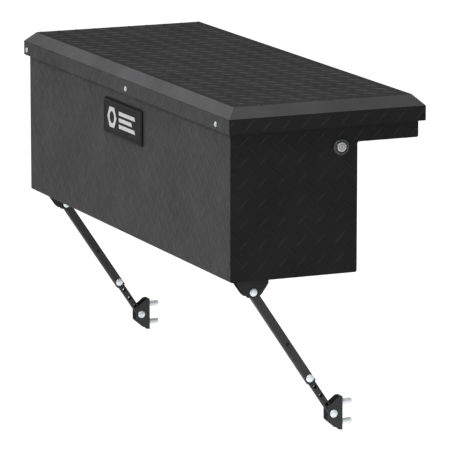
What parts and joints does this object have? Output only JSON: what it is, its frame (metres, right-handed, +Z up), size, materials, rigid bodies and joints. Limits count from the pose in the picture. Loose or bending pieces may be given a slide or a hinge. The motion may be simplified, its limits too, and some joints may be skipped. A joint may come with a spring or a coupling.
{
  "type": "truck tool box",
  "caption": "Side-mount truck tool box: tread-plate box with a rail ledge, hinged lid on gas struts, end push-button lock and telescoping brace legs with wall feet.",
  "frame": {"origin": "centre of the underside of the ledge, where it rests on the bed rail", "axes": "+X along the box towards the lock end, +Y outwards over the rail, +Z up"},
  "size_m": [1.2192, 0.4711, 0.7418],
  "materials": {
    "tread_plate": "black powder coat over embossed tread plate",
    "plain_sheet": "black powder coat, plain sheet",
    "leg_paint": "black powder coat, satin",
    "zinc": "bright zinc plate",
    "bezel_metal": "dark grey, satin",
    "button_metal": "satin",
    "badge_plastic": "matt black",
    "seal_rubber": "matt",
    "core_foam": "cut foam",
    "strut_paint": "gloss black",
    "rod_steel": "ground and polished"
  },
  "bodies": {
    "body": {"body_wrap": "tread_plate", "left_body_end": "tread_plate", "right_body_end": "tread_plate", "weather_seal": "seal_rubber", "badge_plate": "badge_plastic", "hinge_leaf_body": "plain_sheet", "hinge_pin": "zinc", "lock_housing": "bezel_metal", "lock_nut": "zinc", "latch_frame": "plain_sheet", "left_strut_anchor": "zinc", "right_strut_anchor": "zinc", "left_leg_bracket": "leg_paint", "right_leg_bracket": "leg_paint", "left_leg_pivot_bolt": "zinc", "right_leg_pivot_bolt": "zinc", "left_leg_pivot_nut": "zinc", "right_leg_pivot_nut": "zinc"},
    "lid": {"lid_shell": "tread_plate", "lid_liner": "plain_sheet", "lid_core": "core_foam", "hinge_leaf_lid": "plain_sheet", "lid_rivet_1": "zinc", "lid_rivet_2": "zinc", "lid_rivet_3": "zinc", "latch_striker": "zinc", "left_strut_bracket": "plain_sheet", "right_strut_bracket": "plain_sheet"},
    "button": {"push_button": "button_metal"},
    "key": {"key_cylinder": "button_metal"},
    "trigger": {"trigger_lever": "zinc"},
    "hook": {"latch_hook": "zinc"},
    "left_strut_tube": {"left_strut_cylinder": "strut_paint"},
    "left_strut_shaft": {"left_strut_rod": "rod_steel"},
    "left_leg_outer": {"left_leg_outer_tube": "leg_paint", "left_leg_lock_bolt": "zinc", "left_leg_lock_nut": "zinc"},
    "left_leg_inner": {"left_leg_inner_tube": "leg_paint", "left_foot_bolt": "zinc", "left_foot_nut": "zinc"},
    "left_foot": {"left_foot_bracket": "leg_paint", "left_wall_bolt_upper": "zinc", "left_wall_bolt_lower": "zinc", "left_wall_nut_upper": "zinc", "left_wall_nut_lower": "zinc"},
    "right_strut_tube": {"right_strut_cylinder": "strut_paint"},
    "right_strut_shaft": {"right_strut_rod": "rod_steel"},
    "right_leg_outer": {"right_leg_outer_tube": "leg_paint", "right_leg_lock_bolt": "zinc", "right_leg_lock_nut": "zinc"},
    "right_leg_inner": {"right_leg_inner_tube": "leg_paint", "right_foot_bolt": "zinc", "right_foot_nut": "zinc"},
    "right_foot": {"right_foot_bracket": "leg_paint", "right_wall_bolt_upper": "zinc", "right_wall_bolt_lower": "zinc", "right_wall_nut_upper": "zinc", "right_wall_nut_lower": "zinc"}
  },
  "joints": [
    {"name": "lid_hinge", "type": "hinge", "parent": "body", "child": "lid", "pos_m": [0, -0.37785, 0.041], "axis": [1, 0, 0], "range_deg": [0, 85]},
    {"name": "button_press", "type": "slide", "parent": "body", "child": "button", "axis": [-1, 0, 0], "range_m": [0, 0.004], "stiffness_N_per_m": 400},
    {"name": "key_turn", "type": "hinge", "parent": "button", "child": "key", "pos_m": [0.6, -0.113, -0.0082], "axis": [1, 0, 0], "range_deg": [0, 90]},
    {"name": "trigger_swing", "type": "hinge", "parent": "body", "child": "trigger", "pos_m": [0.566, -0.113, 0.022], "axis": [0, 1, 0], "range_deg": [0, 8]},
    {"name": "hook_swing", "type": "hinge", "parent": "body", "child": "hook", "pos_m": [0.5525, -0.131, 0.02], "axis": [1, 0, 0], "range_deg": [-30, 0]},
    {"name": "left_strut_swing", "type": "hinge", "parent": "body", "child": "left_strut_tube", "pos_m": [-0.551, -0.25345, -0.2021], "axis": [1, 0, 0], "range_deg": [0, 9.66]},
    {"name": "left_strut_slide", "type": "slide", "parent": "left_strut_tube", "child": "left_strut_shaft", "axis": [0, -0.1473, 0.9891], "range_m": [0, 0.11119]},
    {"name": "left_leg_swing", "type": "hinge", "parent": "body", "child": "left_leg_outer", "pos_m": [-0.55, -0.3055, -0.3202], "axis": [1, 0, 0], "range_deg": [-60, 50]},
    {"name": "left_leg_slide", "type": "slide", "parent": "left_leg_outer", "child": "left_leg_inner", "axis": [0, 0.5567, -0.8307], "range_m": [-0.0508, 0.0508]},
    {"name": "left_foot_swing", "type": "hinge", "parent": "left_leg_inner", "child": "left_foot", "pos_m": [-0.55, -0.11176, -0.60928], "axis": [1, 0, 0], "range_deg": [-40, 40]},
    {"name": "right_strut_swing", "type": "hinge", "parent": "body", "child": "right_strut_tube", "pos_m": [0.551, -0.25345, -0.2021], "axis": [1, 0, 0], "range_deg": [0, 9.66]},
    {"name": "right_strut_slide", "type": "slide", "parent": "right_strut_tube", "child": "right_strut_shaft", "axis": [0, -0.1473, 0.9891], "range_m": [0, 0.11119]},
    {"name": "right_leg_swing", "type": "hinge", "parent": "body", "child": "right_leg_outer", "pos_m": [0.55, -0.3055, -0.3202], "axis": [1, 0, 0], "range_deg": [-60, 50]},
    {"name": "right_leg_slide", "type": "slide", "parent": "right_leg_outer", "child": "right_leg_inner", "axis": [0, 0.5567, -0.8307], "range_m": [-0.0508, 0.0508]},
    {"name": "right_foot_swing", "type": "hinge", "parent": "right_leg_inner", "child": "right_foot", "pos_m": [0.55, -0.11176, -0.60928], "axis": [1, 0, 0], "range_deg": [-40, 40]}
  ],
  "couplings": [
    {"joint": "trigger_swing", "follows": "button_press", "rad_per_m": 33.113},
    {"joint": "left_strut_swing", "follows": "lid_hinge", "ratio": 0.11365},
    {"joint": "left_strut_slide", "follows": "lid_hinge", "m_per_rad": 0.074943},
    {"joint": "right_strut_swing", "follows": "lid_hinge", "ratio": 0.11365},
    {"joint": "right_strut_slide", "follows": "lid_hinge", "m_per_rad": 0.074943}
  ]
}
